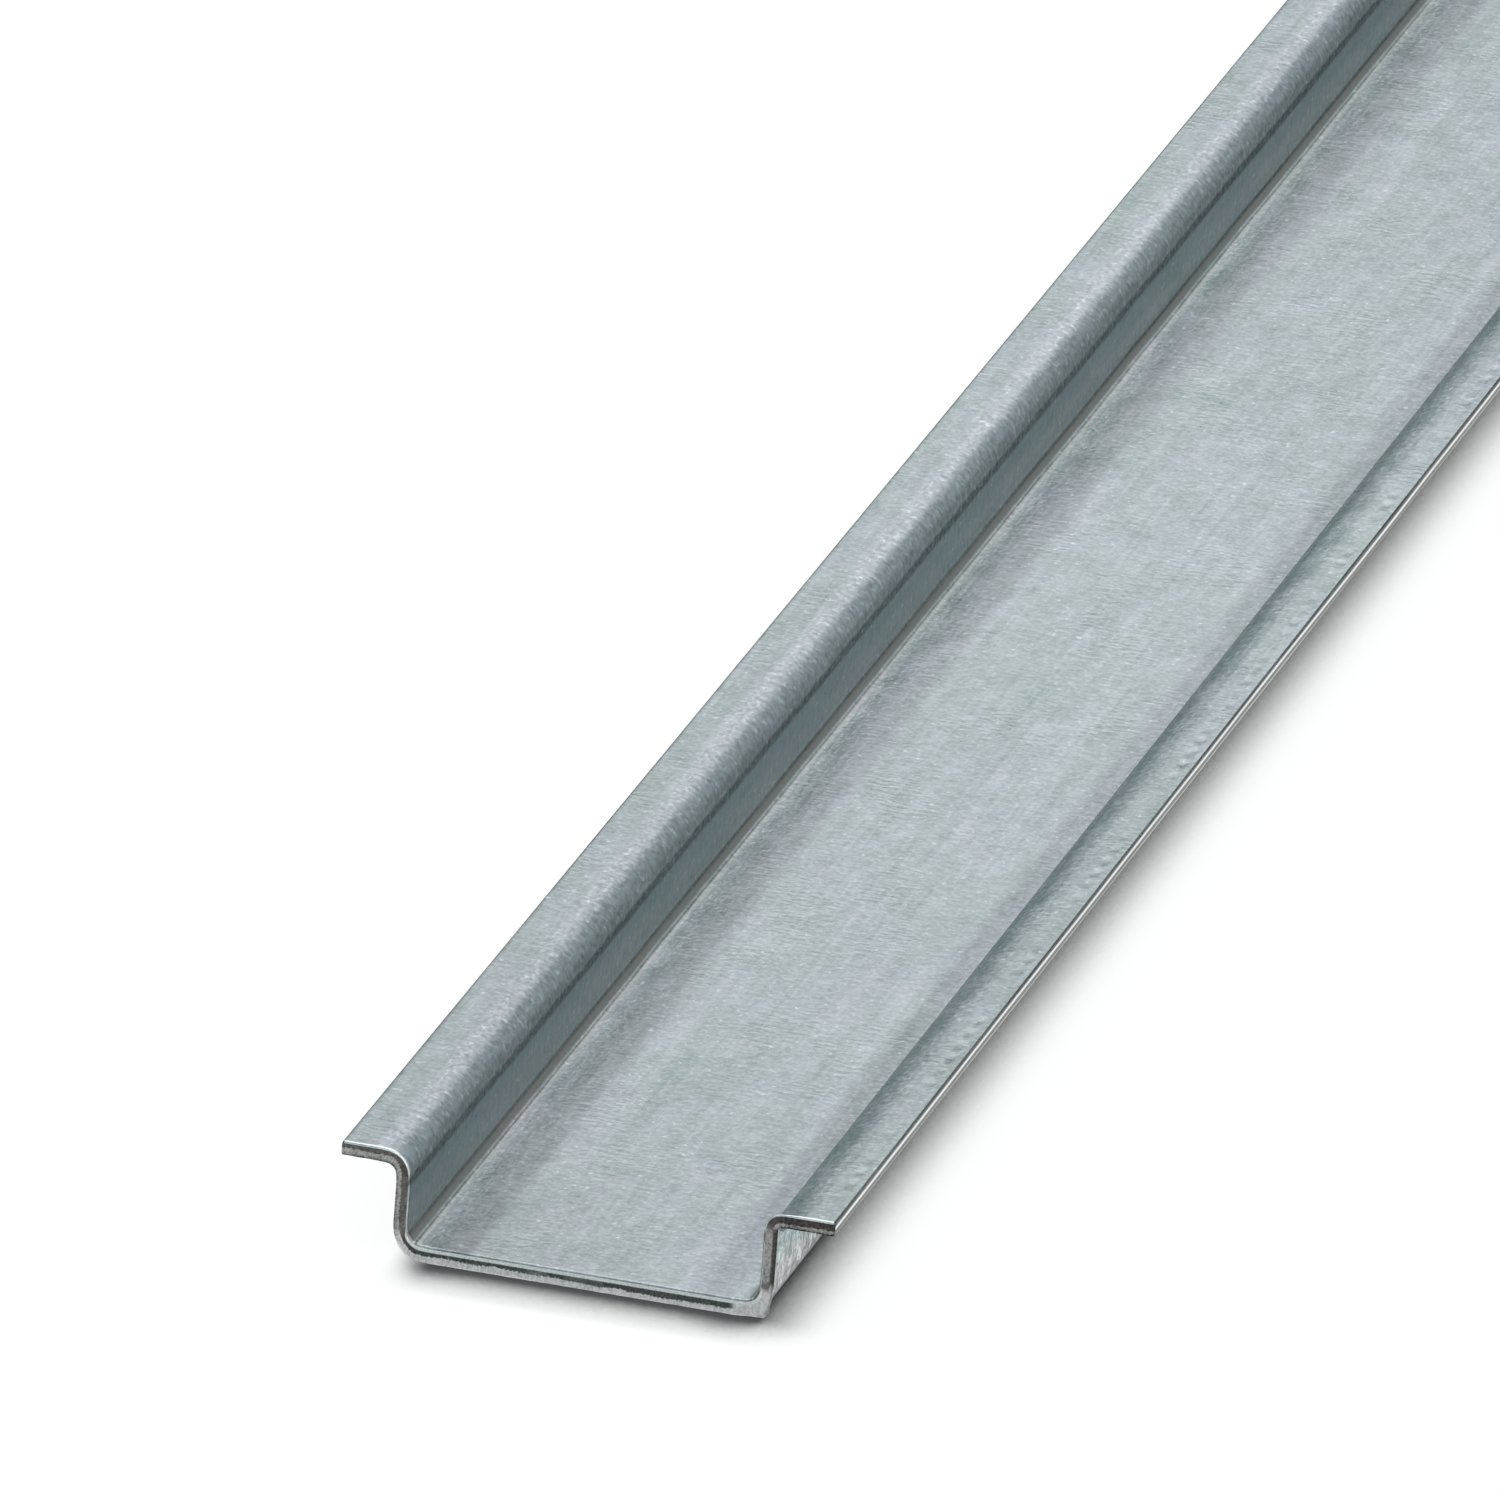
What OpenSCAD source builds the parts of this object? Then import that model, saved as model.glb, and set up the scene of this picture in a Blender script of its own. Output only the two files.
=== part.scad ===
// Top-hat mounting rail, 35 mm wide and 7.5 mm high, the size that switchgear clips onto.
// It is one strip of zinc-coated steel, roll-formed to a constant section and cut to length.
// The back of the web lies on Z = 0, the open side faces +Z, and the length runs along Y.

/* [Rail] */
// Length, cut square at both ends
rail_length = 1000; // [50:1:3000]
// Width over the two flanges
rail_width = 35; // [33:0.1:50]
// Width over the outside of the two channel walls
channel_width = 27; // [20:0.1:30]
// Height from the back of the web to the front of the flanges
rail_height = 7.5; // [6.5:0.1:15]

/* [Strip] */
// Thickness of the strip, the same in the flats and round the bends
strip_t = 1; // [0.8:0.05:1.5]
// Radius on the inner side of each of the four bends
bend_r = 0.8; // [0.3:0.05:1.2]
// Rounding of the strip's slit edges, which become the outer edges of the flanges
slit_edge_r = 0.15; // [0.05:0.05:0.3]

/* [Hidden] */

zinc = [0.68, 0.70, 0.71];
$fn = 64;

// Radius on the outer side of a bend
bend_outer_r = bend_r + strip_t;
// Outer face of a channel wall, from the middle of the rail
wall_x = channel_width / 2;
// End of the web's flat, from the middle of the rail
web_end_x = wall_x - bend_outer_r;
// Start of a flange's flat, from the middle of the rail
flange_start_x = wall_x + bend_r;

// Quarter of a ring in the +X +Y quadrant, or of a disc when there is no inner radius
module quarter(outer_r, inner_r = 0) {
    intersection() {
        difference() {
            circle(r = outer_r);
            if (inner_r > 0)
                circle(r = inner_r);
        }
        square(outer_r);
    }
}

// Flat of the web, across the middle of the rail
module web() {
    translate([-web_end_x, 0])
        square([2 * web_end_x, strip_t]);
}

// Bend from the web up into a wall
module foot_bend() {
    translate([web_end_x, bend_outer_r])
        rotate(-90)
            quarter(bend_outer_r, bend_r);
}

// Flat of a channel wall
module wall() {
    translate([wall_x - strip_t, bend_outer_r])
        square([strip_t, rail_height - 2 * bend_outer_r]);
}

// Bend from a wall out into a flange
module flange_bend() {
    translate([flange_start_x, rail_height - bend_outer_r])
        rotate(90)
            quarter(bend_outer_r, bend_r);
}

// Flat of a flange, whose outer edge is the strip's slit edge with both corners rounded
module flange() {
    edge_x = rail_width / 2 - slit_edge_r;
    translate([flange_start_x, rail_height - strip_t])
        square([edge_x - flange_start_x, strip_t]);
    translate([edge_x, rail_height - strip_t + slit_edge_r])
        square([slit_edge_r, strip_t - 2 * slit_edge_r]);
    translate([edge_x, rail_height - slit_edge_r])
        quarter(slit_edge_r);
    translate([edge_x, rail_height - strip_t + slit_edge_r])
        rotate(-90)
            quarter(slit_edge_r);
}

// The roll-formed section: the strip followed from the web out to both flanges
module section() {
    web();
    for (side = [0, 1])
        mirror([side, 0]) {
            foot_bend();
            wall();
            flange_bend();
            flange();
        }
}

// The whole rail: the section drawn along Y, centred on its length
module rail() {
    color(zinc)
        rotate([90, 0, 0])
            linear_extrude(height = rail_length, center = true)
                section();
}

rail();
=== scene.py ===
import math

import bpy
from mathutils import Matrix, Vector, noise


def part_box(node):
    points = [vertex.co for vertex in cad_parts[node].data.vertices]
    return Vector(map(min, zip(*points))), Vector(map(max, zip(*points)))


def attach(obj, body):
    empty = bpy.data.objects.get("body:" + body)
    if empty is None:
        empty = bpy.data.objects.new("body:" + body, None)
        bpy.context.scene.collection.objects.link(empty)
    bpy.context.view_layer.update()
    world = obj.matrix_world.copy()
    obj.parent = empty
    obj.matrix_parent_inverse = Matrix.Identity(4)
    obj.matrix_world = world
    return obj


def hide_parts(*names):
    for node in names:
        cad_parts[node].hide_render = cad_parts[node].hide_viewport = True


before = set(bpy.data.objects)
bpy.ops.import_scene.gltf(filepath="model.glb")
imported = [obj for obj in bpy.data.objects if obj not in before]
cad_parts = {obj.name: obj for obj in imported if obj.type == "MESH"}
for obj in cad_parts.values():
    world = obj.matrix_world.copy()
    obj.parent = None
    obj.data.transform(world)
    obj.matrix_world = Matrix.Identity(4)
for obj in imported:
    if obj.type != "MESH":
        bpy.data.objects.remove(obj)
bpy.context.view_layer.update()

# ---- The rail's form -----------------------------------------------------------------------------
# The real piece is one strip of zinc-coated steel, 1 mm thick, that rolls bend in four places into a
# top-hat section. It is walked here as the rolls see it, from one slit edge to the other, flat by flat
# and bend by bend. Lengths are in millimetres until the mesh is made.

MM = 0.001
rail_low, rail_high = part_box("rail")
rail_width = (rail_high.x - rail_low.x) / MM
rail_height = (rail_high.z - rail_low.z) / MM
rail_end = rail_high.y / MM

strip_t = 1.0
channel_width = 27.0
bend_r = 0.8
wide_foot_r = 1.15
slit_edge_r = 0.15
quarter_turn = math.pi / 2

# The slight turn that is spread over a short way before or after a bend, as (length, degrees)
even_ease = (0.9, 6)
long_ease = (2.5, 33)

# How far apart the mesh has its stations across the strip
flat_pitch = 0.4
bend_pitch = 0.25


def eased_bend(way, inside_r, ease_in, ease_out):
    """The three runs of one bend: its ease in, the tight part and its ease out. A run is (length along the
    middle of the sheet, turn, pitch of the stations), and way is 1 for a turn to the left."""
    (length_in, degrees_in), (length_out, degrees_out) = ease_in, ease_out
    turn_in, turn_out = math.radians(degrees_in), math.radians(degrees_out)
    tight = quarter_turn - turn_in - turn_out
    middle_r = inside_r + strip_t / 2
    return [
        (length_in, way * turn_in, bend_pitch),
        (middle_r * tight, way * tight, bend_pitch),
        (length_out, way * turn_out, bend_pitch),
    ]


def walk(strip, x, z, heading, length_left=math.inf):
    """Follow the runs of a strip from one point, and return the point and heading that they lead to."""
    for length, turn, pitch in strip:
        step = min(length_left, length)
        bent = turn * step / length
        chord = 2 * (length / abs(turn)) * math.sin(abs(bent) / 2) if turn else step
        x += chord * math.cos(heading + bent / 2)
        z += chord * math.sin(heading + bent / 2)
        heading += bent
        length_left -= step
        if length_left <= 0:
            break
    return x, z, heading


def reach(bend):
    """How far a bend carries the strip along the way that it came, and along the way that it leaves."""
    x, z, heading = walk(bend, 0.0, 0.0, 0.0)
    return abs(x), abs(z)


# The section's legs from corner to corner, along the middle of the sheet
flange_leg = (rail_width - channel_width + strip_t) / 2
wall_leg = rail_height - strip_t
web_leg = channel_width - strip_t
legs = [flange_leg, wall_leg, web_leg, wall_leg, flange_leg]


def strip_runs(bends):
    """The runs of the whole strip, flats and bends in turn. A flat is what the bends leave of a leg."""
    runs = []
    taken = 0.0
    for leg, bend in zip(legs, bends + [[]]):
        before, after = reach(bend)
        runs.append((leg - taken - before, 0, flat_pitch))
        runs += bend
        taken = after
    return runs


left_lip = eased_bend(-1, bend_r, even_ease, even_ease)
left_foot = eased_bend(1, wide_foot_r, even_ease, even_ease)
right_foot = eased_bend(1, bend_r, even_ease, even_ease)
right_lip = eased_bend(-1, bend_r, even_ease, long_ease)
rail_runs = strip_runs([left_lip, left_foot, right_foot, right_lip])
strip_width = sum(length for length, turn, pitch in rail_runs)

# Where the strip's runs stand in their list: a flat is one run, and a bend is three
left_lip_starts = 1
left_foot_starts = 5
web_run = 8
right_wall_run = 12
runs_in_bend = 3


def length_up_to(run):
    """The strip's length across, from the left slit edge to where a run starts."""
    return sum(length for length, turn, pitch in rail_runs[:run])


def middle_of(first, count):
    """How far across the strip the middle of a few runs is."""
    return (length_up_to(first) + length_up_to(first + count)) / 2


# Places on the coat are counted from the middle of the web, the same way to either side
web_middle = middle_of(web_run, 1)
web_edge = rail_runs[web_run][0] / 2
foot_fold = web_middle - middle_of(left_foot_starts, runs_in_bend)
lip_fold = web_middle - middle_of(left_lip_starts, runs_in_bend)


def place_on(strip, across, depth):
    """Where a point of the flat strip lies in the rolled section, as (x, z). Across is measured from the
    left slit edge, and depth from the side that faces out of the open channel."""
    x, z, heading = walk(strip, -rail_width / 2, rail_height - strip_t / 2, 0.0, across)
    rise = strip_t / 2 - depth
    return x - rise * math.sin(heading), z + rise * math.cos(heading)


def strip_stations():
    """Places across the strip, closer together round the bends."""
    places = []
    start = 0.0
    for length, turn, pitch in rail_runs:
        count = round(length / pitch)
        places += [start + length * step / count for step in range(count)]
        start += length
    inner = [place for place in places if slit_edge_r < place < strip_width - slit_edge_r]
    return [slit_edge_r] + inner + [strip_width - slit_edge_r]


across_at = strip_stations()
depth_shares = (0.0, 0.03, 0.15, 0.3, 0.45, 0.6, 0.72, 0.85, 0.97, 1.0)
depth_at = [share * strip_t for share in depth_shares]
columns = len(across_at)
rows = len(depth_at)
inner_rows = range(1, rows - 1)


def node_place(column, row):
    """(across, depth) of one node of the strip's cut face. The columns before the first and after the last
    are the rounded slit edges."""
    depth = depth_at[row]
    from_corner = max(0.0, slit_edge_r - min(depth, strip_t - depth))
    inset = slit_edge_r - math.sqrt(slit_edge_r**2 - from_corner**2)
    if column < 0:
        return inset, depth
    if column >= columns:
        return strip_width - inset, depth
    return across_at[column], depth


outline = (
    [(column, 0) for column in range(columns)]
    + [(columns, row) for row in inner_rows]
    + [(column, rows - 1) for column in reversed(range(columns))]
    + [(-1, row) for row in reversed(inner_rows)]
)

# ---- The cut ends --------------------------------------------------------------------------------
# A leaning shear blade crops the steel from the rail's open side. It pulls the edge over there, leaves a
# smooth band, then a torn band, and last a ragged burr on the back. At the near end it also drags the
# right foot out into a square corner and squeezes the bend at the right lip.

near_side = -1
far_side = 1

cut_lean = 0.95
lean_height = 1.35
lean_reach = 6.0

roll_over = 0.14
tear_depth = 0.55
tear_sway = 0.06
torn_slope = 0.10
torn_grain = 0.018
smooth_share = 0.3
burr = 0.10
burr_starts = 0.93
relief_reach = 0.6
cut_seed = 7.3

# Waves a millimetre of the line where the tear starts, of the grain and of the burr
tear_waves = 0.8
grain_waves_across = 2.2
grain_waves_through = 2.0
burr_waves = 2.7


def lean_at(z):
    """The blade leans, so the cut stands further back at the lips than at the web."""
    return cut_lean * (1 - math.exp(-z / lean_height))


def end_relief(across, depth, end):
    """How far the cut face stands back from the leaning cut, at one place on it."""
    tear_line = tear_depth + tear_sway * noise.noise(Vector((across * tear_waves, cut_seed, end)))
    torn = torn_slope * max(0.0, depth - tear_line)
    grain_spot = Vector((across * grain_waves_across, depth * grain_waves_through, cut_seed * end))
    grain = torn_grain * noise.noise(grain_spot) * (1 if depth > tear_line else smooth_share)
    ragged = 0.5 + 0.5 * noise.noise(Vector((across * burr_waves, cut_seed * 2, end)))
    raised = burr * ragged * max(0.0, (depth - burr_starts) / (strip_t - burr_starts))
    return burr + torn + grain - raised


smear_reach = 1.4
foot_outer_r = bend_r + strip_t
foot_centre = channel_width / 2 - foot_outer_r


def smeared(x, z, inward):
    """A point at the near end, after the blade has dragged the right foot out into a square corner."""
    over = x - foot_centre
    under = foot_outer_r - z
    from_centre = math.hypot(over, under)
    if over <= 0 or under <= 0 or from_centre < bend_r or inward > smear_reach:
        return x, z
    to_square = from_centre / max(over, under) - 1
    to_corner = foot_outer_r / max(over, under) - 1
    pull = to_square * (1 - inward / smear_reach) ** 2 * (from_centre - bend_r) / strip_t
    stretch = 1 + max(0.0, min(pull, to_corner))
    return foot_centre + over * stretch, foot_outer_r - under * stretch


squeeze_reach = 2.5
squeezed_lip = eased_bend(-1, inside_r=0.2, ease_in=(0.5, 3), ease_out=(0.9, 5))
squeezed_runs = strip_runs([left_lip, left_foot, right_foot, squeezed_lip])
squeezed_width = sum(length for length, turn, pitch in squeezed_runs)
squeeze_starts = length_up_to(right_wall_run)


def squeezed(across, depth, inward):
    """A point at the near end, after the blade has squeezed the right lip's bend into a crisp corner."""
    x, z = place_on(rail_runs, across, depth)
    if across <= squeeze_starts or inward > squeeze_reach:
        return x, z
    stretch = (squeezed_width - squeeze_starts) / (strip_width - squeeze_starts)
    crisp_across = squeeze_starts + (across - squeeze_starts) * stretch
    crisp_x, crisp_z = place_on(squeezed_runs, crisp_across, depth)
    share = (1 - inward / squeeze_reach) ** 2
    return x + (crisp_x - x) * share, z + (crisp_z - z) * share


def end_point(end, across, depth, inward):
    """Where a point of the section stands, `inward` from the cut at one end of the rail."""
    if end == far_side:
        return place_on(rail_runs, across, depth)
    x, z = squeezed(across, depth, inward)
    return smeared(x, z, inward)


def end_ring(end, inward, front_inset):
    """One ring of the outline near an end, as (place, across, depth, distance from the cut)."""
    share = max(0.0, 1 - inward / relief_reach)
    ring = []
    for column, row in outline:
        across, depth = node_place(column, row)
        depth = front_inset + depth * (strip_t - front_inset) / strip_t
        x, z = end_point(end, across, depth, inward)
        back = end_relief(across, depth, end) * share + burr * (1 - share)
        back += lean_at(z) * max(0.0, 1 - inward / lean_reach)
        ring.append(((x, end * (rail_end - back - inward), z), across, depth, inward))
    return ring


def middle_ring(y):
    """One ring of the outline between the ends."""
    ring = []
    for column, row in outline:
        across, depth = node_place(column, row)
        x, z = place_on(rail_runs, across, depth)
        ring.append(((x, y, z), across, depth, rail_end))
    return ring


# The rings near an end, as (distance from the cut, inset of the front): round the pulled-over edge first
roll_steps = 3
roll_angles = [quarter_turn * step / roll_steps for step in range(roll_steps + 1)]
rolled_steps = [(1 - math.cos(angle), 1 - math.sin(angle)) for angle in roll_angles]
end_steps = [(roll_over * inward, roll_over * inset) for inward, inset in rolled_steps]
end_steps += [(inward, 0.0) for inward in (0.2, 0.35, 0.6, 1.0, 1.6, 2.5, 4.0, 6.0)]
middle_steps = 240


def rail_rings():
    """All the rings of the outline, from the near cut to the far one."""
    middle_end = rail_end - burr - end_steps[-1][0]
    near_rings = [end_ring(near_side, inward, inset) for inward, inset in end_steps]
    far_rings = [end_ring(far_side, inward, inset) for inward, inset in reversed(end_steps)]
    middle_places = [-middle_end + 2 * middle_end * step / middle_steps for step in range(1, middle_steps)]
    return near_rings + [middle_ring(y) for y in middle_places] + far_rings


# The mesh as it grows. Each point keeps its place on the flat strip and its distance from the nearer cut,
# by which the materials know where they are.
points = []
places_on_strip = []
distances_from_cut = []
faces = []
face_finishes = []
zinc_finish = 0
slit_finish = 1
sheared_finish = 2


def add_point(place, across, depth, inward):
    """Add one point to the mesh and return its number."""
    x, y, z = place
    points.append((x * MM, y * MM, z * MM))
    places_on_strip.extend((across, y, depth))
    distances_from_cut.append(inward)
    return len(points) - 1


def join_rings(near, far):
    """Skin the strip between two rings of points."""
    for place, (column, row) in enumerate(outline):
        after = (place + 1) % len(outline)
        faces.append((near[place], near[after], far[after], far[place]))
        slit_edge = row in inner_rows or outline[after][1] in inner_rows
        face_finishes.append(slit_finish if slit_edge else zinc_finish)


def close_end(end, ring):
    """Close one end with its cut face, whose rim is the end's outer ring."""
    number = dict(zip(outline, ring))
    for row in (0, rows - 1):
        number[(-1, row)] = number[(0, row)]
        number[(columns, row)] = number[(columns - 1, row)]
    for column in range(columns):
        for row in inner_rows:
            across, depth = node_place(column, row)
            depth = roll_over + depth * (strip_t - roll_over) / strip_t
            x, z = end_point(end, across, depth, 0.0)
            y = end * (rail_end - end_relief(across, depth, end) - lean_at(z))
            number[(column, row)] = add_point((x, y, z), across, depth, 0.0)
    for column in range(-1, columns):
        for row in range(rows - 1):
            around = [(column, row), (column, row + 1), (column + 1, row + 1), (column + 1, row)]
            corners = list(dict.fromkeys(number[node] for node in around))
            if len(corners) > 2:
                faces.append(corners if end == near_side else corners[::-1])
                face_finishes.append(sheared_finish)


rings = [[add_point(*node) for node in ring] for ring in rail_rings()]
for near, far in zip(rings, rings[1:]):
    join_rings(near, far)
close_end(near_side, rings[0])
close_end(far_side, rings[-1])

mesh = bpy.data.meshes.new("formed_strip")
mesh.from_pydata(points, [], faces)
mesh.polygons.foreach_set("material_index", face_finishes)
mesh.polygons.foreach_set("use_smooth", [True] * len(faces))
mesh.set_sharp_from_angle(angle=math.radians(50))
mesh.attributes.new("strip", "FLOAT_VECTOR", "POINT").data.foreach_set("vector", places_on_strip)
mesh.attributes.new("from_cut", "FLOAT", "POINT").data.foreach_set("value", distances_from_cut)
mesh.update()
rail = bpy.data.objects.new("formed_strip", mesh)
bpy.context.scene.collection.objects.link(rail)

# ---- The zinc coat -------------------------------------------------------------------------------
# The strip is zinc-coated in the coil and passivated, before it is rolled. Its grain, the mill's lines
# and the cloudy tint run along the strip, the coat crazes where a bend stretches it, and the rolls rub
# the folds. Places on it are in millimetres: across the strip, along the rail and through the sheet.


def new_material(name):
    """An empty material, and its tree."""
    material = bpy.data.materials.new(name)
    material.use_nodes = True
    material.node_tree.nodes.clear()
    return material, material.node_tree


def add_node(tree, kind, inputs, **settings):
    """Add a node, give it its settings, and give each named or numbered input a value or a link."""
    node = tree.nodes.new("ShaderNode" + kind)
    for name, value in settings.items():
        setattr(node, name, value)
    for socket, value in inputs.items():
        if isinstance(value, bpy.types.NodeSocket):
            tree.links.new(value, node.inputs[socket])
        else:
            node.inputs[socket].default_value = value
    return node


def maths(tree, operation, *values):
    """One step of reckoning with values or sockets."""
    return add_node(tree, "Math", dict(enumerate(values)), operation=operation).outputs[0]


def total(tree, *values):
    """The sum of several values or sockets."""
    result = values[0]
    for value in values[1:]:
        result = maths(tree, "ADD", result, value)
    return result


def product(tree, *values):
    """Several values or sockets multiplied together."""
    result = values[0]
    for value in values[1:]:
        result = maths(tree, "MULTIPLY", result, value)
    return result


def weighed(tree, *terms):
    """The sum of several (pattern, weight) terms."""
    return total(tree, *[maths(tree, "MULTIPLY", pattern, weight) for pattern, weight in terms])


def without(tree, mask, share=1.0):
    """1 where the mask is 0, and less by the share where it is 1."""
    return maths(tree, "SUBTRACT", 1.0, maths(tree, "MULTIPLY", mask, share))


def swing(tree, pattern, amount):
    """A pattern round 0.5 turned into a change round nought."""
    return maths(tree, "MULTIPLY", maths(tree, "SUBTRACT", pattern, 0.5), amount)


def fade(tree, value, start, end):
    """0 at start and 1 at end, smoothly between. Start may be the greater."""
    inputs = {"Value": value, "From Min": min(start, end), "From Max": max(start, end)}
    inputs["To Min"], inputs["To Max"] = (0.0, 1.0) if start < end else (1.0, 0.0)
    return add_node(tree, "MapRange", inputs, interpolation_type="SMOOTHSTEP").outputs[0]


def band(tree, value, middle, half_width, soft):
    """1 inside a band and 0 outside it, with soft edges."""
    away = maths(tree, "ABSOLUTE", maths(tree, "SUBTRACT", value, middle))
    return fade(tree, away, half_width + soft, half_width)


def blend(tree, share, first, second):
    """One colour turning into another as the share goes from 0 to 1."""
    return add_node(tree, "Mix", {0: share, 6: first, 7: second}, data_type="RGBA").outputs[2]


def tinted(tree, colour, tint):
    """A colour seen through a tint."""
    return add_node(tree, "VectorMath", {0: colour, 1: tint}, operation="MULTIPLY").outputs[0]


def lightened(tree, colour, lightness):
    """A colour made lighter or darker all over."""
    return add_node(tree, "VectorMath", {0: colour, "Scale": lightness}, operation="SCALE").outputs[0]


def colours_along(tree, value, first, middle, last):
    """A value turned into a colour by three (position, colour) stops."""
    node = add_node(tree, "ValToRGB", {0: value})
    ends = node.color_ramp.elements
    for stop, (position, colour) in zip(ends, (first, last)):
        stop.position = position
        stop.color = colour
    position, colour = middle
    ends.new(position).color = colour
    return node.outputs[0]


def new_group(name, inputs, outputs):
    """An empty shader node group with named sockets. Returns the group and the nodes at its two ends."""
    group = bpy.data.node_groups.new(name, "ShaderNodeTree")
    for socket_name, kind, value in inputs:
        socket = group.interface.new_socket(socket_name, in_out="INPUT", socket_type="NodeSocket" + kind)
        if value is not None:
            socket.default_value = value
    for socket_name in outputs:
        group.interface.new_socket(socket_name, in_out="OUTPUT", socket_type="NodeSocketFloat")
    return group, group.nodes.new("NodeGroupInput").outputs, group.nodes.new("NodeGroupOutput").inputs


def place_group(tree, group, **inputs):
    """Place a group in a material and return its outputs."""
    node = tree.nodes.new("ShaderNodeGroup")
    node.node_tree = group
    for name, value in inputs.items():
        socket = node.inputs[name]
        if isinstance(value, bpy.types.NodeSocket):
            tree.links.new(value, socket)
        else:
            socket.default_value = value
    return node.outputs


# Mottle: soft noise round 0.5, in patches of a given size
mottling, mottle_in, mottle_out = new_group(
    "mottle",
    [("Place", "Vector", None), ("Size", "Vector", None), ("Detail", "Float", 1.0), ("Seed", "Float", 0.0)],
    ["Mottle"],
)
in_patches = add_node(
    mottling,
    "VectorMath",
    {0: mottle_in["Place"], 1: mottle_in["Size"]},
    operation="DIVIDE",
)
seed_shift = add_node(mottling, "CombineXYZ", {0: mottle_in["Seed"], 1: mottle_in["Seed"]})
shifted = add_node(
    mottling,
    "VectorMath",
    {0: in_patches.outputs[0], 1: seed_shift.outputs[0]},
    operation="ADD",
)
patch_noise = add_node(
    mottling,
    "TexNoise",
    {"Vector": shifted.outputs[0], "Scale": 1.0, "Detail": mottle_in["Detail"], "Roughness": 0.55},
)
mottling.links.new(patch_noise.outputs[0], mottle_out["Mottle"])


def mottle(tree, place, size, detail=1.0, seed=0.0):
    """Mottle whose patches have the given size across, along and through, in millimetres."""
    return place_group(tree, mottling, Place=place, Size=size, Detail=detail, Seed=seed)["Mottle"]


# Drawn lines: long thin streaks, broken up along their length
drawn_lines, lines_in, lines_out = new_group(
    "drawn_lines",
    [("Place", "Vector", None), ("Width", "Float", 0.5), ("Length", "Float", 30.0)],
    ["Lines"],
)
line_parts = add_node(drawn_lines, "SeparateXYZ", {0: lines_in["Place"]}).outputs
line_place = add_node(
    drawn_lines,
    "CombineXYZ",
    {
        0: maths(drawn_lines, "DIVIDE", line_parts[0], lines_in["Width"]),
        1: maths(drawn_lines, "DIVIDE", line_parts[1], lines_in["Length"]),
        2: line_parts[2],
    },
)
line_noise = add_node(
    drawn_lines,
    "TexNoise",
    {"Vector": line_place.outputs[0], "Scale": 1.0, "Detail": 2.0, "Roughness": 0.6},
)
drawn_lines.links.new(line_noise.outputs[0], lines_out["Lines"])

# Metal grain: fine crystals, and a few that catch the light
metal_grain, grain_in, grain_out = new_group(
    "metal_grain",
    [
        ("Place", "Vector", None),
        ("Size", "Float", 0.25),
        ("Stretch", "Float", 1.0),
        ("Sparse", "Float", 0.68),
    ],
    ["Grain", "Glints"],
)
grain_parts = add_node(metal_grain, "SeparateXYZ", {0: grain_in["Place"]}).outputs
grain_place = add_node(
    metal_grain,
    "CombineXYZ",
    {
        0: grain_parts[0],
        1: maths(metal_grain, "DIVIDE", grain_parts[1], grain_in["Stretch"]),
        2: grain_parts[2],
    },
).outputs[0]
grain_density = maths(metal_grain, "DIVIDE", 1.0, grain_in["Size"])
grain_noise = add_node(
    metal_grain,
    "TexNoise",
    {"Vector": grain_place, "Scale": grain_density, "Detail": 1.0, "Roughness": 0.5},
)
glint_density = maths(metal_grain, "MULTIPLY", grain_density, 0.8)
glint_noise = add_node(
    metal_grain,
    "TexNoise",
    {"Vector": grain_place, "Scale": glint_density, "Detail": 0.0},
)
glints = add_node(
    metal_grain,
    "MapRange",
    {
        "Value": glint_noise.outputs[0],
        "From Min": grain_in["Sparse"],
        "From Max": maths(metal_grain, "ADD", grain_in["Sparse"], 0.1),
    },
)
metal_grain.links.new(grain_noise.outputs[0], grain_out["Grain"])
metal_grain.links.new(glints.outputs[0], grain_out["Glints"])


def read_place(tree):
    """The place on the flat strip, and its parts across, along and through."""
    place = add_node(tree, "Attribute", {}, attribute_name="strip").outputs["Vector"]
    across, along, depth = add_node(tree, "SeparateXYZ", {0: place}).outputs
    return place, across, along, depth


def metal_surface(tree, colour, roughness, relief):
    """Bare or coated metal, with a relief in millimetres."""
    bump = add_node(tree, "Bump", {"Strength": 1.0, "Distance": MM, "Height": relief})
    metal = add_node(
        tree,
        "BsdfPrincipled",
        {"Base Color": colour, "Metallic": 1.0, "Roughness": roughness, "Normal": bump.outputs[0]},
    )
    add_node(tree, "OutputMaterial", {0: metal.outputs[0]})


zinc, tree = new_material("zinc_coat")
place, across, along, depth = read_place(tree)
from_middle = maths(tree, "ABSOLUTE", maths(tree, "SUBTRACT", across, web_middle))
open_side = fade(tree, depth, strip_t * 0.6, strip_t * 0.4)
back_side = fade(tree, depth, strip_t * 0.4, strip_t * 0.6)
left_half = fade(tree, across, web_middle + 2.0, web_middle - 2.0)
wall_centre = (foot_fold + lip_fold) / 2

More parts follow.
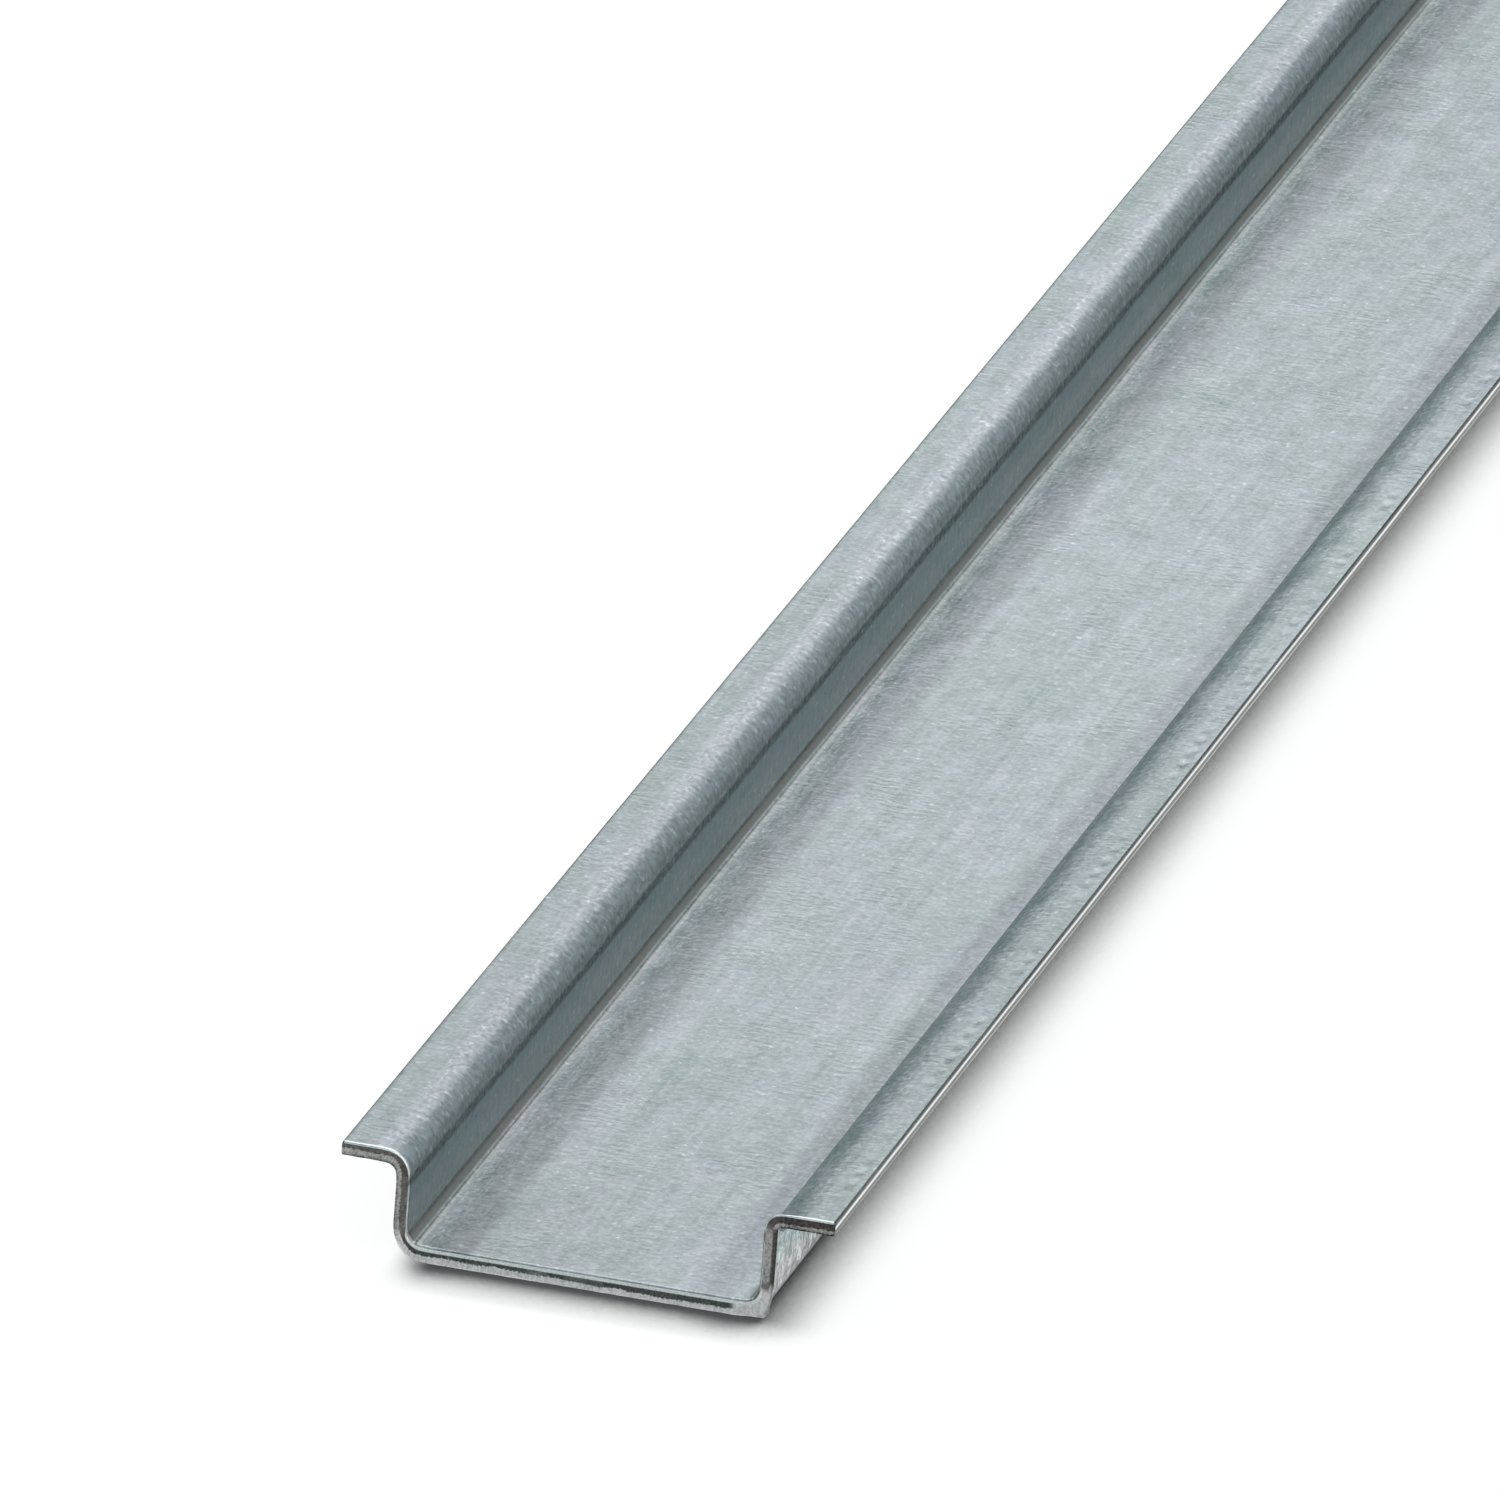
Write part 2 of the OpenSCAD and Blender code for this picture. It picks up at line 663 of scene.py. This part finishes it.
# Painted light along the rail: past the first 150 mm from the near end the coat is painted lighter, and the
# walls a little darker
painted_light_along = fade(tree, along, -rail_end, -rail_end + 150.0)
# The coat's unevenness, from long waves down to its crystals
long_wave = mottle(tree, place, (80.0, 140.0, 8.0), detail=0.0, seed=5.0)
clouds = mottle(tree, place, (7.0, 16.0, 3.0), detail=2.0, seed=3.1)
patches = mottle(tree, place, (2.2, 4.0, 2.0), detail=2.0, seed=8.4)
peel = mottle(tree, place, (1.15, 0.62, 1.0), detail=2.0, seed=12.3)
fine_lines = place_group(tree, drawn_lines, Place=place, Width=0.35, Length=14.0)["Lines"]
broad_lines = place_group(tree, drawn_lines, Place=place, Width=1.5, Length=60.0)["Lines"]
grain = place_group(tree, metal_grain, Place=place, Size=0.36, Stretch=1.2, Sparse=0.72)
coarse_grain = place_group(tree, metal_grain, Place=place, Size=0.32, Stretch=1.8, Sparse=0.66)
soft_grain = maths(tree, "MAXIMUM", grain["Grain"], 0.40)

# It is crazed over the bends at the lips, and less where the web starts beside the feet
lip_bend = product(tree, band(tree, from_middle, middle=lip_fold, half_width=1.2, soft=0.9), open_side)
web_start = band(tree, from_middle, middle=web_edge + 0.3, half_width=0.4, soft=0.5)
web_strip = product(tree, web_start, open_side)
crazed = maths(tree, "MAXIMUM", lip_bend, maths(tree, "MULTIPLY", web_strip, 0.6))

# Short marks across the strip, in loose patches
mark_noise = mottle(tree, place, (1.5, 0.5, 1.0), detail=1.5, seed=1.7)
mark_field = fade(tree, mottle(tree, place, (6.0, 9.0, 3.0), seed=6.6), 0.48, 0.62)
marks = product(tree, swing(tree, mark_noise, 1.0), mark_field)

# The rolls rub a dark line into each foot, with a light line and a seam beside it, and the web beside the
# left foot carries a painted highlight
waver = swing(tree, mottle(tree, place, (30.0, 18.0, 5.0), seed=2.2), 0.25)
wavering = maths(tree, "ADD", from_middle, waver)
foot_line = band(tree, wavering, middle=foot_fold + 0.42, half_width=0.08, soft=0.22)
foot_rub = product(tree, band(tree, wavering, middle=foot_fold - 0.02, half_width=0.26, soft=0.20), 0.75)
foot_light = band(tree, wavering, middle=foot_fold - 0.44, half_width=0.06, soft=0.12)
foot_seam = band(tree, wavering, middle=foot_fold - 0.68, half_width=0.05, soft=0.10)
brown_band = band(tree, wavering, middle=foot_fold - 0.30, half_width=0.75, soft=0.3)
foot_brown = product(tree, brown_band, open_side)
left_foot_painted_highlight = product(
    tree,
    fade(tree, wavering, foot_fold - 0.80, foot_fold - 1.15),
    fade(tree, wavering, foot_fold - 2.8, foot_fold - 1.1),
    left_half,
)

# The walls carry painted shade, with a dark line under each lip; the flanges are a little darker,
# and the web carries a painted dark reflection of the walls beside the feet
lip_line = band(tree, wavering, middle=lip_fold - 1.40, half_width=0.16, soft=0.34)
upright = band(tree, from_middle, middle=wall_centre, half_width=2.6, soft=1.0)
wall_painted_shade = product(
    tree,
    fade(tree, from_middle, foot_fold + 1.2, lip_fold - 1.6),
    fade(tree, from_middle, lip_fold - 0.2, lip_fold - 1.6),
)
web_painted_reflection = band(tree, wavering, middle=web_edge - 1.7, half_width=0.5, soft=1.4)
flanges = fade(tree, from_middle, lip_fold + 1.2, lip_fold + 2.4)
# Painted shade on the right lip: a dark line along its bend, and a darker start of its flange
right_lip_place = web_middle + lip_fold
right_bend_painted_shade = band(tree, across, middle=right_lip_place - 0.60, half_width=0.05, soft=0.20)
right_flange_painted_shade = product(
    tree,
    fade(tree, across, right_lip_place - 0.6, right_lip_place),
    fade(tree, across, right_lip_place + 2.0, right_lip_place + 0.8),
)

# Just behind the near cut the web is darker on the left and lighter on the right
near_web = product(
    tree,
    fade(tree, along, -rail_end + 24.0, -rail_end + 5.0),
    band(tree, across, middle=web_middle, half_width=web_edge - 1.5, soft=1.5),
)
rightward = fade(tree, across, web_middle - 4.0, web_middle + 7.0)
near_change = maths(tree, "ADD", maths(tree, "MULTIPLY", rightward, 0.145), -0.10)

rolled_marks = weighed(
    tree,
    (foot_line, -0.42),
    (foot_rub, -0.10),
    (foot_light, 0.20),
    (foot_seam, -0.40),
    (left_foot_painted_highlight, 0.17),
    (lip_line, -0.42),
    (wall_painted_shade, -0.14),
    (product(tree, upright, painted_light_along), -0.21),
    (web_painted_reflection, -0.21),
    (flanges, -0.055),
    (right_bend_painted_shade, -0.13),
    (right_flange_painted_shade, -0.13),
    (near_web, near_change),
)

# The slitting knives wipe the coat thin and dark along both edges. The rolled-over edge at each end carries
# a painted highlight, strong on the lips
to_slit = maths(tree, "MINIMUM", across, maths(tree, "SUBTRACT", strip_width, across))
wiped_edge = fade(tree, to_slit, 0.34, 0.14)
wiping = maths(tree, "ADD", maths(tree, "MULTIPLY", left_half, -0.09), -0.05)
from_cut = add_node(tree, "Attribute", {}, attribute_name="from_cut").outputs["Fac"]
on_lips = fade(tree, from_middle, lip_fold - 1.2, lip_fold)
highlight_strength = maths(tree, "ADD", maths(tree, "MULTIPLY", on_lips, 0.90), -0.03)
end_painted_highlight = product(tree, fade(tree, from_cut, 0.34, 0.16), open_side)

# Under the lips the outer face of the walls is left crumpled by the bending. The crumples' relief is real;
# the face's lighter tone and its light and dark patches are a painted reflection of the white floor
crumples_and_reflection = mottle(tree, place, (1.5, 0.8, 2.0), detail=2.0, seed=4.4)
outer_wall = product(tree, band(tree, from_middle, middle=wall_centre, half_width=2.2, soft=0.8), back_side)

# Between its colours the coat wanders from teal, in the walls' painted shade, through grey to a touch of
# violet
teal_grey = (0.455, 0.540, 0.555, 1)
plain_grey = (0.540, 0.560, 0.560, 1)
violet_grey = (0.583, 0.576, 0.605, 1)
rubbed_brown = (0.34, 0.305, 0.285, 1)
brown_haze = (1.0, 0.945, 0.93, 1)
no_haze = (1, 1, 1, 1)
tint_place = total(
    tree,
    clouds,
    swing(tree, patches, 0.5),
    swing(tree, broad_lines, 0.5),
    weighed(
        tree,
        (web_painted_reflection, 0.22),
        (wall_painted_shade, -0.5),
        (upright, -0.20),
        (product(tree, lip_bend, left_half), 0.30),
    ),
)
zinc_tint = colours_along(
    tree,
    tint_place,
    (0.0, teal_grey),
    (0.30, plain_grey),
    (0.72, violet_grey),
)
lightness = total(
    tree,
    0.925,
    swing(tree, long_wave, 0.12),
    swing(tree, fine_lines, 0.28),
    swing(tree, broad_lines, 0.26),
    swing(tree, patches, 0.24),
    swing(tree, peel, 0.52),
    swing(tree, soft_grain, 0.56),
    weighed(
        tree,
        (painted_light_along, 0.15),
        (grain["Glints"], 0.35),
        (product(tree, coarse_grain["Glints"], crazed), 0.30),
        (swing(tree, coarse_grain["Grain"], 0.75), crazed),
        (swing(tree, crumples_and_reflection, 1.8), outer_wall),
        (outer_wall, 0.25),
        (wiped_edge, wiping),
        (end_painted_highlight, highlight_strength),
        (rolled_marks, open_side),
    ),
)
zinc_colour = lightened(tree, zinc_tint, lightness)
zinc_colour = blend(tree, product(tree, foot_rub, open_side), zinc_colour, rubbed_brown)
zinc_colour = tinted(tree, zinc_colour, blend(tree, foot_brown, no_haze, brown_haze))
zinc_roughness = total(
    tree,
    0.33,
    swing(tree, fine_lines, 0.12),
    swing(tree, patches, 0.18),
    swing(tree, soft_grain, 0.12),
    weighed(tree, (foot_rub, 0.08), (product(tree, lip_bend, left_half), 0.09)),
)

# The right flange carries a row of shallow dents from the drive rolls, near its slit edge
dent_pitch = 2.5
dent_turns = maths(tree, "MULTIPLY", along, 2 * math.pi / dent_pitch)
dent_wave = maths(tree, "MULTIPLY", maths(tree, "ADD", maths(tree, "SINE", dent_turns), 1.0), 0.5)
dent_row = band(tree, across, middle=strip_width - 0.95, half_width=0.12, soft=0.35)
dent_field = fade(tree, mottle(tree, place, (50.0, 12.0, 5.0), seed=9.1), 0.42, 0.58)
dents = product(tree, dent_wave, dent_row, dent_field, open_side)

zinc_relief = total(
    tree,
    swing(tree, clouds, 0.12),
    swing(tree, patches, 0.03),
    swing(tree, broad_lines, 0.016),
    swing(tree, fine_lines, 0.006),
    swing(tree, soft_grain, 0.016),
    weighed(
        tree,
        (marks, 0.026),
        (swing(tree, coarse_grain["Grain"], 0.010), crazed),
        (swing(tree, crumples_and_reflection, 1.5), outer_wall),
        (dents, -0.045),
    ),
)
metal_surface(tree, zinc_colour, zinc_roughness, zinc_relief)

# ---- The slit edges ------------------------------------------------------------------------------
# Rotary knives slit the coil to the strip's width, so both long edges are bare steel: a smoother burnished
# line with a torn grey line under it, and the zinc wiped a little over the corner. The burnished line is
# painted bright, a painted reflection of the white floor.

slit, tree = new_material("slit_edge")
place, across, along, depth = read_place(tree)
edge_place = add_node(tree, "CombineXYZ", {0: depth, 1: along, 2: across}).outputs[0]
knife_lines = place_group(tree, drawn_lines, Place=edge_place, Width=0.09, Length=12.0)["Lines"]
grain = place_group(tree, metal_grain, Place=place, Size=0.15, Sparse=0.7)["Grain"]
drift = swing(tree, mottle(tree, place, (20.0, 55.0, 20.0), seed=4.0), 0.5)
drifting = maths(tree, "ADD", depth, drift)
burnish_and_reflection = band(tree, drifting, middle=strip_t * 0.30, half_width=0.07, soft=0.10)
low_line = band(tree, drifting, middle=strip_t * 0.90, half_width=0.08, soft=0.10)
corner_line = fade(tree, depth, 0.16, 0.08)
shine = total(
    tree,
    0.14,
    weighed(tree, (burnish_and_reflection, 0.68), (low_line, 0.42), (corner_line, 0.05)),
    swing(tree, knife_lines, 0.4),
    swing(tree, grain, 0.4),
)
slit_roughness = total(tree, 0.36, maths(tree, "MULTIPLY", burnish_and_reflection, -0.10), swing(tree, grain, 0.2))
slit_relief = total(tree, swing(tree, knife_lines, 0.006), swing(tree, grain, 0.006))
metal_surface(tree, lightened(tree, (0.98, 1.0, 1.0), shine), slit_roughness, slit_relief)

# ---- The sheared ends ----------------------------------------------------------------------------
# Below the pulled-over edge the blade leaves a smoother band, painted dark as a reflection, and under it a
# torn band of bare grey steel that ends in the burr. At the near end's smeared foot the painted dark band
# is left out.

sheared, tree = new_material("sheared_end")
place, across, along, depth = read_place(tree)
from_middle = maths(tree, "ABSOLUTE", maths(tree, "SUBTRACT", across, web_middle))
blade_place = add_node(tree, "CombineXYZ", {0: across, 1: depth, 2: along}).outputs[0]
blade_lines = place_group(tree, drawn_lines, Place=blade_place, Width=0.10, Length=2.5)["Lines"]
grain = place_group(tree, metal_grain, Place=place, Size=0.16, Sparse=0.68)["Grain"]
blotches = mottle(tree, place, (1.4, 1.0, 0.3), detail=2.0, seed=2.9)

near_end = fade(tree, along, 10.0, -10.0)
raised = fade(tree, from_middle, foot_fold, foot_fold + 1.5)
on_web = without(tree, raised)
on_left_lip = fade(tree, across, web_middle - lip_fold + 0.5, web_middle - lip_fold - 0.5)
on_right_lip = fade(tree, across, web_middle + lip_fold - 0.5, web_middle + lip_fold + 0.5)
towards_smear = fade(tree, across, web_middle - 6.0, web_middle + 6.0)

# How far through the sheet a place is, as the ragged start of the tear sees it
tear = total(
    tree,
    depth,
    swing(tree, mottle(tree, place, (2.0, 5.0, 5.0), seed=7.0), 0.30),
    swing(tree, grain, 0.20),
    weighed(tree, (towards_smear, -0.09), (on_left_lip, 0.12)),
)

# The smooth band starts lower on the web, and is fainter at the left lip and on the walls
below_top = maths(tree, "SUBTRACT", depth, maths(tree, "MULTIPLY", on_web, 0.30))
smear_start = web_middle + web_edge + 0.2
no_dark_at_smear = product(
    tree,
    fade(tree, across, smear_start - 0.6, smear_start),
    fade(tree, across, smear_start + 3.0, smear_start + 2.4),
    near_end,
)
either_wall = band(tree, from_middle, middle=wall_centre, half_width=1.6, soft=0.8)
smooth = product(
    tree,
    fade(tree, tear, 0.66, 0.56),
    fade(tree, below_top, 0.02, 0.10),
    without(tree, on_left_lip, 0.25),
    without(tree, no_dark_at_smear),
    without(tree, either_wall, 0.25),
)

# Up the wall beside the smeared foot the painted dark reflection lies on the torn side
torn_wall = product(
    tree,
    band(tree, across, middle=web_middle + wall_centre + 0.2, half_width=1.5, soft=0.7),
    near_end,
)
dark_tear = fade(tree, tear, 0.50, 0.62)
smooth = add_node(tree, "Mix", {0: torn_wall, 2: smooth, 3: dark_tear}).outputs[0]
evenness = fade(tree, mottle(tree, place, (1.6, 8.0, 0.8), detail=2.0, seed=3.3), 0.36, 0.54)
evenness = maths(tree, "MAXIMUM", evenness, towards_smear)
# Where the smooth band lies it is smoother, and painted dark as a reflection, in patches
smoothness_and_dark_reflection = product(tree, smooth, maths(tree, "ADD", maths(tree, "MULTIPLY", evenness, 0.35), 0.65))

# The last colour is the smooth band's painted dark reflection
bare_steel = (0.90, 0.90, 0.885, 1)
dull_steel = (0.38, 0.375, 0.36, 1)
painted_dark_reflection = (0.16, 0.155, 0.145, 1)
steel_tint = colours_along(
    tree,
    total(tree, smoothness_and_dark_reflection, swing(tree, blotches, 0.6)),
    (0.0, bare_steel),
    (0.5, dull_steel),
    (1.0, painted_dark_reflection),
)
steel_lightness = total(
    tree,
    1.0,
    weighed(
        tree,
        (raised, -0.60),
        (on_right_lip, -0.10),
        (fade(tree, depth, 0.78, 1.0), -0.20),
        # Painted highlight along the top of the web's end face
        (product(tree, on_web, fade(tree, depth, 0.38, 0.28)), 0.25),
    ),
    swing(tree, blade_lines, 0.35),
    swing(tree, blotches, 0.3),
    swing(tree, grain, 0.7),
)
steel_colour = lightened(tree, steel_tint, steel_lightness)
warm_on_web = (1.0, 0.91, 0.92, 1)
warm_above = (1.0, 0.99, 0.985, 1)
warmth = blend(tree, raised, warm_on_web, warm_above)
steel_roughness = total(tree, 0.5, maths(tree, "MULTIPLY", smoothness_and_dark_reflection, -0.2), swing(tree, grain, 0.3))
steel_relief = total(tree, swing(tree, blade_lines, 0.006), swing(tree, grain, 0.012))
metal_surface(tree, tinted(tree, steel_colour, warmth), steel_roughness, steel_relief)

for finish in (zinc, slit, sheared):
    rail.data.materials.append(finish)
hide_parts("rail")
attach(rail, "root")

# ---- The floor -----------------------------------------------------------------------------------
# A wide sheet of matt white card lies under the rail. Seen directly or mirrored in the metal it is plain
# white, and close to the rail it darkens softly, on the side that the rail keeps the light from.

# The middle one of nine panels holds the rail and its soft shadow. Lengths here are in metres.
floor_half = 100.0
contact_reach = 0.006
patch_margin = contact_reach + 0.001
left_foot_x = -channel_width / 2 * MM
floor_columns = [-floor_half, rail_low.x - patch_margin, rail_high.x + patch_margin, floor_half]
floor_rows = [-floor_half, rail_low.y - patch_margin, rail_high.y + patch_margin, floor_half]
floor_corners = [(x, y, 0) for y in floor_rows for x in floor_columns]
per_row = len(floor_columns)
starts = [row * per_row + column for row in range(per_row - 1) for column in range(per_row - 1)]
panels = [(start, start + 1, start + per_row + 1, start + per_row) for start in starts]
middle_panel = len(panels) // 2
mesh = bpy.data.meshes.new("floor")
mesh.from_pydata(floor_corners, [], panels)
mesh.polygons[middle_panel].material_index = 1
floor = bpy.data.objects.new("floor", mesh)
bpy.context.scene.collection.objects.link(floor)
floor.location.z = rail_low.z


def white_card(name, by_rail):
    """The floor's card, with or without the soft shadow close to the rail."""
    card, tree = new_material(name)
    rays = add_node(tree, "LightPath", {}).outputs
    seen = maths(tree, "MAXIMUM", rays["Is Camera Ray"], rays["Is Glossy Ray"])
    seen = maths(tree, "MAXIMUM", seen, rays["Is Transmission Ray"])
    white = maths(tree, "MULTIPLY", seen, 0.93)
    if by_rail:
        # The shadow lies as if the light came from the far end, and it starts under the left foot
        towards_light = add_node(tree, "CombineXYZ", {0: 0.0, 1: 0.98, 2: -0.17}).outputs[0]
        sky_inputs = {"Distance": contact_reach, "Normal": towards_light}
        open_sky = add_node(tree, "AmbientOcclusion", sky_inputs, samples=24).outputs["AO"]
        hidden = without(tree, fade(tree, open_sky, 0.74, 0.98))
        floor_place = add_node(tree, "NewGeometry", {}).outputs["Position"]
        floor_x = add_node(tree, "SeparateXYZ", {0: floor_place}).outputs[0]
        lee = fade(tree, floor_x, left_foot_x - 0.0002, left_foot_x + 0.0032)
        white = product(tree, white, without(tree, product(tree, hidden, lee)))
    glow = add_node(tree, "Emission", {"Strength": white})
    matt = add_node(tree, "BsdfDiffuse", {"Color": (0.11, 0.105, 0.105, 1)})
    both = add_node(tree, "AddShader", {0: matt.outputs[0], 1: glow.outputs[0]})
    add_node(tree, "OutputMaterial", {0: both.outputs[0]})
    return card


floor.data.materials.append(white_card("white_card", by_rail=False))
floor.data.materials.append(white_card("white_card_by_rail", by_rail=True))

# ---- Light and camera ----------------------------------------------------------------------------
# Two broad softboxes light the rail from behind on the left and from the front, with a weak reflector
# low beside it, in a pale studio. The camera looks down its length from the near end, through a long lens.

world = bpy.data.worlds.new("studio")
bpy.context.scene.world = world
world.use_nodes = True
backdrop = world.node_tree.nodes["Background"].inputs
backdrop["Color"].default_value = (0.66, 0.95, 1.0, 1)
backdrop["Strength"].default_value = 0.3


def direction(azimuth, elevation):
    """The way towards a lamp, by its angle from +Y towards +X and its height, in degrees."""
    turn, rise = math.radians(azimuth), math.radians(elevation)
    return Vector((math.sin(turn) * math.cos(rise), math.cos(turn) * math.cos(rise), math.sin(rise)))


def add_softbox(name, towards, spread, strength):
    """A lamp so far off that it lights the whole rail alike, and seems as wide as its spread."""
    data = bpy.data.lights.new(name, "SUN")
    data.angle = math.radians(spread)
    data.energy = strength
    lamp = bpy.data.objects.new(name, data)
    lamp.rotation_euler = towards.to_track_quat("Z", "Y").to_euler()
    bpy.context.scene.collection.objects.link(lamp)


add_softbox("back_softbox", direction(azimuth=-30, elevation=60), spread=80, strength=1.25)
add_softbox("side_reflector", direction(azimuth=30, elevation=8), spread=40, strength=0.07)
add_softbox("front_softbox", direction(azimuth=140, elevation=40), spread=70, strength=0.92)

# Where the camera stands, in metres and radians, and where it aims beside the near end
azimuth = math.radians(14.63)
elevation = math.radians(21.43)
roll = math.radians(3.845)
distance = 2.4592
frame_width = 0.10200
film_width = 36.0
aim_right = 0.011429
aim_up = 0.036295

level_back = Vector((math.sin(azimuth), -math.cos(azimuth), 0))
back = level_back * math.cos(elevation) + Vector((0, 0, math.sin(elevation)))
level_right = Vector((math.cos(azimuth), math.sin(azimuth), 0))
level_up = back.cross(level_right)
right = level_right * math.cos(roll) + level_up * math.sin(roll)
up = level_up * math.cos(roll) - level_right * math.sin(roll)
near_foot = Vector((0, rail_low.y + (cut_lean + burr) * MM, rail_low.z))
aim = near_foot + right * aim_right + up * aim_up

camera_data = bpy.data.cameras.new("camera")
camera_data.sensor_width = film_width
camera_data.lens = film_width * distance / frame_width
camera_data.clip_start = 0.1
camera_data.clip_end = 200.0
camera = bpy.data.objects.new("camera", camera_data)
camera.matrix_world = Matrix((right, up, back)).transposed().to_4x4()
camera.location = aim + back * distance
bpy.context.scene.collection.objects.link(camera)
bpy.context.scene.camera = camera

bpy.context.scene.view_settings.view_transform = "Standard"
